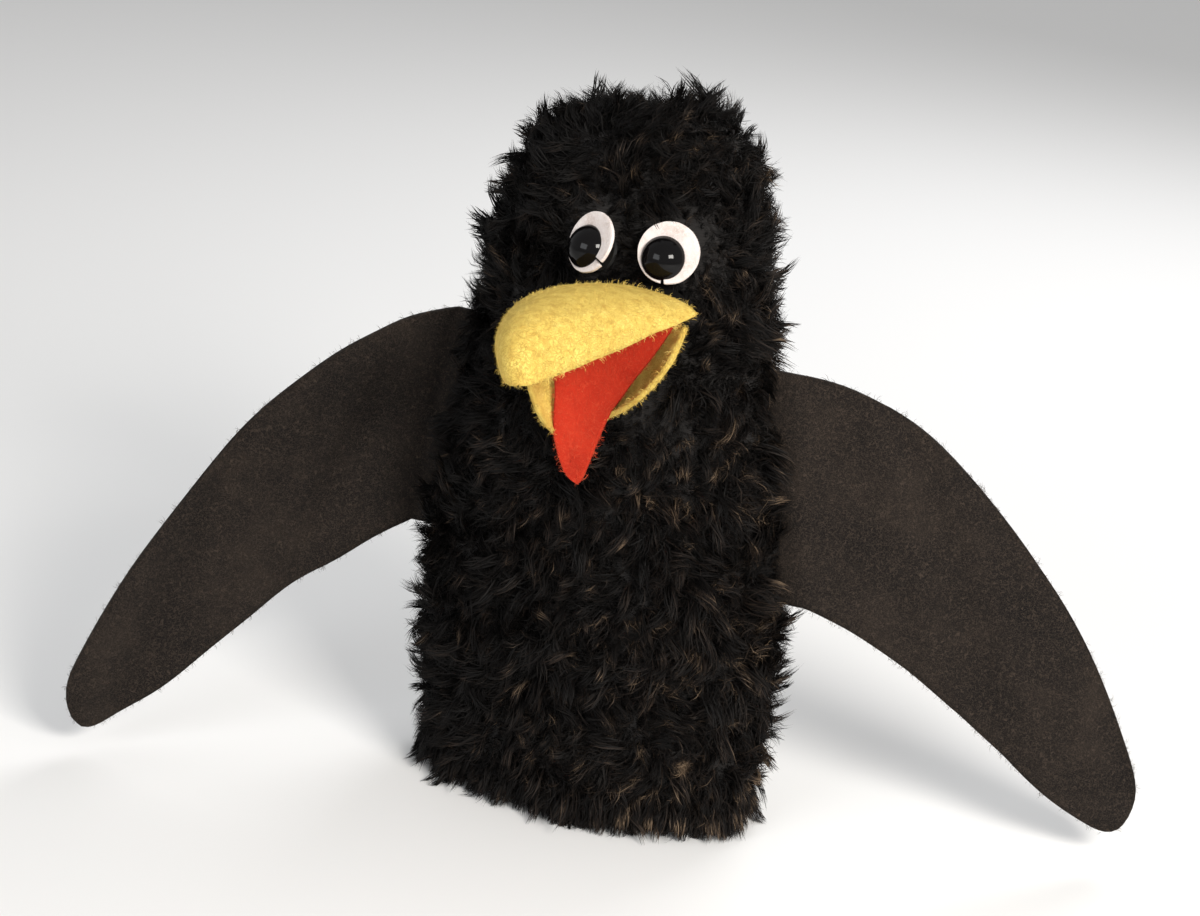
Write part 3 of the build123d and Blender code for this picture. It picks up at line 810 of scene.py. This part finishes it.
loose_fibres = lock_collection(
    "felt_fibre",
    5,
    strands=5,
    length=0.0021,
    spread=0.0007,
    gather=0.9,
    lean=0.9,
    curl=0.0006,
    width=0.00015,
)
wing_fuzz = fibre_dye("brown_fibres", (0.004, 0.003, 0.0025), (0.022, 0.015, 0.011), (0.10, 0.068, 0.045))
for side, name in ((-1, "left_wing"), (1, "right_wing")):
    joint = next(j for j in frame["joints"] if j["child"] == name)
    foot = Vector(joint["pos_m"])
    up = Vector(joint["axis"]) * (1 if side < 0 else -1)
    spots = [v.co for v in frame["nodes"][name].data.vertices]
    reach = max(spots, key=lambda p: (p - foot - up * (p - foot).dot(up)).length) - foot
    out = (reach - up * reach.dot(up)).normalized()
    face_out = out.cross(up) * (1 if side > 0 else -1)
    face_out = face_out if face_out.y < 0 else -face_out
    edge = cut_edge(name, face_out)
    edge = [p - face_out * wing_felt_thickness / 2 for p in edge]
    top = max(edge, key=lambda p: (p - foot).dot(up) - 3 * (p - foot).dot(out))
    bottom = min(edge, key=lambda p: (p - foot).dot(up) * 0.2 + 3 * (p - foot).dot(out))
    tip = min(edge, key=lambda p: (p - foot).dot(up) - 0.8 * (p - foot).dot(out))
    at = edge.index(top)
    edge = edge[at:] + edge[:at]
    if edge.index(bottom) < edge.index(tip):
        edge = [edge[0]] + edge[:0:-1]
    leading = even_steps(edge[: edge.index(tip) + 1], 64)
    trailing = even_steps(list(reversed(edge[edge.index(tip) : edge.index(bottom) + 1])), 64)
    rows = []
    for step in (0.012, 0.008, 0.004):
        inward = Vector((-side * step, 0, 0))
        rows.append([top.lerp(bottom, i / 30) + inward for i in range(31)])
    for a, b in zip(leading, trailing):
        row = []
        for i in range(31):
            spot = a.lerp(b, i / 30)
            away = max(0.0, (spot - foot).dot(out) - 0.006)
            along = (spot - foot).dot(out) + 0.25 * (spot - foot).dot(up)
            fold = math.sin(along * 150 + 1.3 * side) + 0.6 * math.sin(along * 263 + 0.9)
            wave = 0.0011 * fold * min(1.0, away / 0.03)
            sag = 0.0025 * noise.noise(spot * 14) * min(1.0, away / 0.04)
            row.append(spot + face_out * (wave + sag))
        rows.append(row)
    wing = rows_to_object(name + "_felt", rows)
    woolly = grow_fuzz(name + "_fuzz", wing, wing_fuzz, 0.0015, 0.0035, 83, wing_felt_thickness, 0.3)
    thicken(wing, wing_felt_thickness)
    wing.data.materials.append(wing_felt)
    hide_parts(name, name + "_seam_tab")
    for piece in (wing, woolly):
        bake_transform(piece)

# ---------------------------------------------------------------- upper beak
# Yellow wool felt, cut and darted so that it arches over the fingers to a blunt, drooping nose.
# Its base is sewn to the head, and its lower edge is left raw.
level_out = Vector((0, -1, 0))
upper_droop = math.radians(3.0)
upper_lean = math.radians(1.5)
beak_thickness = 0.0020


def jaw_frame(drop, lean):
    """Directions across a jaw, out along it and up from its lining."""
    straight = level_out * math.cos(drop) - mouth_up * math.sin(drop)
    top = mouth_up * math.cos(drop) + level_out * math.sin(drop)
    out = straight * math.cos(lean) + hinge_line * math.sin(lean)
    return top.cross(out), out, top


yellow_felt = felt(
    "yellow_felt",
    dark=(0.58, 0.36, 0.070),
    middle=(0.74, 0.53, 0.115),
    light=(0.84, 0.64, 0.165),
    fibre=(0.62, 0.36, 0.075),
    patch_size=230,
    fibre_size=900,
    sheen=0.12,
    raise_by=0.0007,
)
yellow_fuzz = fibre_dye("yellow_fibres", (0.50, 0.25, 0.050), (0.76, 0.53, 0.115), (0.88, 0.70, 0.22))
# each rib of the arch: how far out and how high its ridge is, how far out and how wide its rim is,
# and how sharply it peaks
upper_ribs = [
    (-0.003, 0.0125, -0.003, 0.0385, 1.45),
    (0.004, 0.0148, 0.004, 0.0365, 1.35),
    (0.013, 0.0170, 0.011, 0.0338, 1.20),
    (0.024, 0.0188, 0.020, 0.0296, 1.08),
    (0.037, 0.0202, 0.031, 0.0254, 1.00),
    (0.050, 0.0204, 0.042, 0.0210, 0.95),
    (0.060, 0.0195, 0.053, 0.0164, 0.90),
    (0.0685, 0.0170, 0.062, 0.0118, 0.90),
    (0.0735, 0.0130, 0.068, 0.0084, 0.90),
    (0.0755, 0.0085, 0.072, 0.0058, 0.90),
    (0.0760, 0.0040, 0.0745, 0.0032, 0.95),
    (0.0755, 0.0004, 0.0755, 0.0004, 1.00),
]


def smooth_ribs(ribs, count):
    """The ribs drawn through smoothly, count between each two."""

    def between(p, q, r, s, t):
        square = (2 * p - 5 * q + 4 * r - s) * t * t
        return 0.5 * (2 * q + (r - p) * t + square + (3 * q - p - 3 * r + s) * t**3)

    made = []
    for k in range(len(ribs) - 1):
        a, b = ribs[max(k - 1, 0)], ribs[k]
        c, d = ribs[k + 1], ribs[min(k + 2, len(ribs) - 1)]
        for i in range(count):
            made.append([between(p, q, r, s, i / count) for p, q, r, s in zip(a, b, c, d)])
    return made + [list(ribs[-1])]


across, out, top = jaw_frame(upper_droop, upper_lean)
rows = []
for ridge_out, ridge_high, rim_out, rim_wide, peak in smooth_ribs(upper_ribs, 4):
    row = []
    for i in range(41):
        turn = math.pi * (i / 40 - 0.5)
        lift = math.cos(turn)
        spot = across * (rim_wide * math.sin(turn)) + out * (rim_out + (ridge_out - rim_out) * lift)
        spot = mouth_place + spot + top * (ridge_high * max(lift, 0.0) ** peak)
        ripple = noise.noise(spot * 60) * 0.0006 + noise.noise(spot * 170) * 0.0003
        row.append(spot + top * ripple)
    rows.append(row)
upper_beak = rows_to_object("upper_beak", rows)
upper_fuzz = grow_fuzz("upper_beak_fuzz", upper_beak, yellow_fuzz, 0.0011, 0.0035, 61, beak_thickness)
thicken(upper_beak, beak_thickness)
upper_beak.data.materials.append(yellow_felt)
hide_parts("upper_beak_felt")
for piece in (upper_beak, upper_fuzz):
    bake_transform(piece)

# ---------------------------------------------------------------- red mouth lining
# One tongue-shaped piece of thinner red felt, folded across the mouth: the upper half lies under
# the beak, and the lower half runs past the end of the lower beak to a soft point.
lining_thickness = 0.0015
red_felt = felt(
    "red_felt",
    dark=(0.37, 0.018, 0.006),
    middle=(0.44, 0.024, 0.008),
    light=(0.50, 0.033, 0.011),
    fibre=(0.55, 0.060, 0.024),
    patch_size=70,
    fibre_size=820,
    sheen=0.12,
    raise_by=0.00025,
)
# the upper half's outline: how far out, and how wide to each side
upper_edge = [
    (0.0005, 0.031),
    (0.006, 0.0315),
    (0.016, 0.0285),
    (0.028, 0.0255),
    (0.042, 0.0215),
    (0.053, 0.0155),
    (0.062, 0.0095),
    (0.067, 0.005),
    (0.069, 0.0003),
]
rows = []
for reach, half in smooth_ribs(upper_edge, 3):
    row = []
    for i in range(21):
        x = half * (2 * i / 20 - 1)
        row.append(mouth_place + across * x + out * reach + top * (0.0006 + 0.0012 * (1 - (x / 0.032) ** 2)))
    rows.append(row)
upper_lining = rows_to_object("upper_lining", rows)
thicken(upper_lining, lining_thickness)
upper_lining.data.materials.append(red_felt)
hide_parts("upper_mouth_lining")
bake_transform(upper_lining)

lower_drop = math.radians(90.0)
lower_lean = math.radians(-15.0)
low_across, low_out, low_top = jaw_frame(lower_drop, lower_lean)
# each line across the tongue: how far out and how far across its left edge is, the same for its
# right edge, and its sag
tongue_lines = [
    (0.0075, -0.0300, -0.0085, 0.0320, 0.0),
    (0.0105, -0.0245, -0.0020, 0.0290, 0.0004),
    (0.0150, -0.0195, 0.0080, 0.0240, 0.0010),
    (0.0220, -0.0155, 0.0180, 0.0182, 0.0014),
    (0.0310, -0.0135, 0.0270, 0.0135, 0.0016),
    (0.0400, -0.0128, 0.0360, 0.0092, 0.0014),
    (0.0480, -0.0118, 0.0460, 0.0062, 0.0010),
    (0.0550, -0.0094, 0.0545, 0.0042, 0.0006),
    (0.0605, -0.0062, 0.0605, 0.0028, 0.0004),
    (0.0635, -0.0030, 0.0635, 0.0018, 0.0002),
    (0.0648, 0.0002, 0.0648, 0.0006, 0.0),
]
rows = []
for left_out, left_x, right_out, right_x, sag in smooth_ribs(tongue_lines, 4):
    row = []
    for i in range(25):
        share = i / 24
        reach = left_out + (right_out - left_out) * share
        spot = mouth_place + low_across * (left_x + (right_x - left_x) * share) + low_out * reach
        curl = 0.0022 * max(0.0, (reach - 0.045) / 0.02) ** 2
        spot = spot + low_top * (curl - sag * math.sin(math.pi * share) - 0.0008)
        row.append(spot + low_top * noise.noise(spot * 80) * 0.0005)
    rows.append(row)
lower_lining = rows_to_object("lower_lining", rows)
red_fuzz = fibre_dye("red_fibres", (0.50, 0.030, 0.008), (0.60, 0.055, 0.018), (0.74, 0.16, 0.07))
tongue_fuzz = grow_fuzz("tongue_fuzz", lower_lining, red_fuzz, 0.0011, 0.0022, 67, lining_thickness, 0.25)
thicken(lower_lining, lining_thickness)
lower_lining.data.materials.append(red_felt)
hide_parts("lower_mouth_lining")
for piece in (lower_lining, tongue_fuzz):
    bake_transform(piece)

# ---------------------------------------------------------------- lower beak
# A shallow trough of the same yellow felt for the thumb, its raw edges standing up beside the red
# tongue. It hangs from the mouth and tucks against the pile of the chest.
# each line across the trough: its left and right rims as for the tongue, and how far the rims stand
# above the lining and the bottom lies below it
trough_lines = [
    (0.0095, -0.0285, -0.0060, 0.0355, 0.0020, 0.0050),
    (0.0150, -0.0258, 0.0000, 0.0345, 0.0050, 0.0085),
    (0.0220, -0.0234, 0.0080, 0.0322, 0.0066, 0.0090),
    (0.0290, -0.0208, 0.0165, 0.0276, 0.0070, 0.0090),
    (0.0360, -0.0180, 0.0240, 0.0220, 0.0062, 0.0085),
    (0.0425, -0.0150, 0.0300, 0.0162, 0.0036, 0.0078),
    (0.0475, -0.0118, 0.0340, 0.0112, -0.0004, 0.0068),
    (0.0505, -0.0090, 0.0375, 0.0070, -0.0026, 0.0060),
    (0.0520, -0.0066, 0.0400, 0.0040, -0.0036, 0.0056),
]
rows = []
for left_out, left_x, right_out, right_x, rim, depth in smooth_ribs(trough_lines, 4):
    row = []
    for i in range(37):
        turn = math.pi * i / 36
        share = (1 - math.cos(turn)) / 2
        spot = mouth_place + low_across * (left_x + (right_x - left_x) * share)
        spot = spot + low_out * (left_out + (right_out - left_out) * share)
        spot = spot + low_top * (rim - (rim + depth) * math.sin(turn) ** 0.75)
        row.append(spot + low_top * noise.noise(spot * 90) * 0.0005)
    rows.append(row)
lower_beak = rows_to_object("lower_beak", rows)
lower_fuzz = grow_fuzz("lower_beak_fuzz", lower_beak, yellow_fuzz, 0.0011, 0.0035, 71, beak_thickness)
thicken(lower_beak, beak_thickness)
lower_beak.data.materials.append(yellow_felt)
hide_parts("lower_beak_felt")
for piece in (lower_beak, lower_fuzz):
    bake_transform(piece)

# ---------------------------------------------------------------- fold and stiffeners inside the mouth
# The fold of the red lining is stitched to the head behind the hinge line. Thin plastic sheets,
# glued to the back of the lining, give the fingers and the thumb something to press on.
board = flat_colour("thin_black_board", (0.020, 0.018, 0.017), 0.7)
for node, material in (("mouth_fold", red_felt), ("upper_mouth_board", board), ("lower_mouth_board", board)):
    frame["nodes"][node].data.materials.clear()
    frame["nodes"][node].data.materials.append(material)

# ---------------------------------------------------------------- eyes
# A disc of thick off-white felt, slit from its edge to the middle so that it cups a little, held
# by the shank of a glossy black domed pupil that is pushed into a plastic washer inside the head.
white_felt = felt(
    "white_felt",
    dark=(0.56, 0.46, 0.41),
    middle=(0.72, 0.64, 0.61),
    light=(0.78, 0.72, 0.70),
    fibre=(0.84, 0.79, 0.77),
    patch_size=160,
    fibre_size=900,
    sheen=0.10,
    raise_by=0.0002,
)
pupil_black = flat_colour("black_pupil", (0.0030, 0.0026, 0.0028), 0.08)
pupil_black.node_tree.nodes["Principled BSDF"].inputs["Specular IOR Level"].default_value = 0.18
washer_plastic = flat_colour("black_plastic", (0.012, 0.012, 0.012), 0.5)
disc_radius = 0.01175
disc_thickness = 0.0013
half_slit = 3.8
for name, slit in (("left", -30), ("right", -92)):
    disc_node = frame["nodes"]["eye_disc_" + name]
    pupil_node = frame["nodes"]["pupil_" + name]
    corner_a, corner_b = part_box("eye_disc_" + name)
    centre = (corner_a + corner_b) / 2
    cloud = np.array([v.co - centre for v in disc_node.data.vertices])
    facing = Vector(np.linalg.svd(cloud - cloud.mean(axis=0))[2][2]).normalized()
    facing = facing if facing.y < 0 else -facing
    level = Vector((0, 0, 1)).cross(facing).normalized()
    rise = facing.cross(level)
    pupil_spots = [v.co for v in pupil_node.data.vertices]
    pupil_tip = max(pupil_spots, key=lambda p: p.dot(facing)) - centre
    hole = level * pupil_tip.dot(level) + rise * pupil_tip.dot(rise)
    rows = []
    for i in range(73):
        turn = math.radians(slit + half_slit + (360 - 2 * half_slit) * i / 72)
        rim_way = level * math.cos(turn) + rise * math.sin(turn)
        ragged = disc_radius + 0.00022 * noise.noise(Vector((math.cos(turn) * 3, math.sin(turn) * 3, slit)))
        lifted = 0.0009 * max(0.0, 1 - i / 7) - 0.0004 * max(0.0, 1 - (72 - i) / 6)
        row = []
        for k in range(9):
            share = k / 8
            spot = centre + (hole + rim_way * 0.0023).lerp(rim_way * ragged, share)
            cup = 0.0006 * share**2 + lifted * share
            row.append(spot + facing * (cup + 0.00012 * noise.noise(spot * 300)))
        rows.append(row)
    disc = rows_to_object("eye_felt_" + name, rows)
    thicken(disc, disc_thickness)
    bevel = disc.modifiers.new("worn_edge", "BEVEL")
    bevel.width = 0.0003
    bevel.segments = 2
    bevel.angle_limit = math.radians(50)
    settle(disc)
    disc.data.materials.append(white_felt)
    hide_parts("eye_disc_" + name)
    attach(disc, "body")
    washer_node = frame["nodes"]["eye_washer_" + name]
    for node, material in ((pupil_node, pupil_black), (washer_node, washer_plastic)):
        node.data.materials.clear()
        node.data.materials.append(material)

# ---------------------------------------------------------------- camera, lights and floor
# It stands on a pale floor in soft studio light that comes mostly from its left.
camera_turn, camera_rise, camera_roll = math.radians(21), math.radians(20), math.radians(5)
level_back = Vector((math.sin(camera_turn), -math.cos(camera_turn), 0))
level_right = Vector((math.cos(camera_turn), math.sin(camera_turn), 0))
camera_back = level_back * math.cos(camera_rise) + Vector((0, 0, 1)) * math.sin(camera_rise)
camera_right = level_right * math.cos(camera_roll) + camera_back.cross(level_right) * math.sin(camera_roll)
camera_up = camera_back.cross(camera_right)
camera_place = Vector((-0.0053, 0, 0.1437)) + camera_back * 1.1
lens = bpy.data.cameras.new("camera")
lens.lens = 82.9
lens.sensor_width = 36
camera = bpy.data.objects.new("camera", lens)
bpy.context.scene.collection.objects.link(camera)
camera.matrix_world = Matrix((camera_right, camera_up, camera_back)).transposed().to_4x4()
camera.location = camera_place
bpy.context.scene.camera = camera


def soft_light(name, place, aim, size, power, colour):
    """A large studio lamp."""
    lamp = bpy.data.lights.new(name, "AREA")
    lamp.shape = "RECTANGLE"
    lamp.size = size
    lamp.size_y = size * 0.7
    lamp.energy = power
    lamp.color = colour
    holder = bpy.data.objects.new(name, lamp)
    holder.location = place
    holder.rotation_euler = (Vector(aim) - Vector(place)).to_track_quat("-Z", "Y").to_euler()
    bpy.context.scene.collection.objects.link(holder)
    return holder


lights = [
    soft_light("key_light", (0.95, -0.75, 0.85), (0, 0, 0.14), 0.5, 21, (1.0, 0.96, 0.90)),
    soft_light("fill_light", (-0.5, -1.3, 0.7), (0, 0, 0.14), 0.8, 6, (0.94, 0.97, 1.0)),
    soft_light("back_light", (0.2, 1.1, 0.9), (0, 0, 0.16), 0.8, 7, (1.0, 1.0, 1.0)),
]
world = bpy.data.worlds.new("studio")
world.use_nodes = True
world.node_tree.nodes["Background"].inputs["Color"].default_value = (1, 1, 1, 1)
world.node_tree.nodes["Background"].inputs["Strength"].default_value = 0.5
bpy.context.scene.world = world
bpy.context.scene.view_settings.view_transform = "Standard"

floor = rows_to_object("floor", [[(-9, -9, 0), (9, -9, 0)], [(-9, 9, 0), (9, 9, 0)]])
floor.data.materials.append(flat_colour("pale_floor", (0.82, 0.82, 0.82), 0.9))
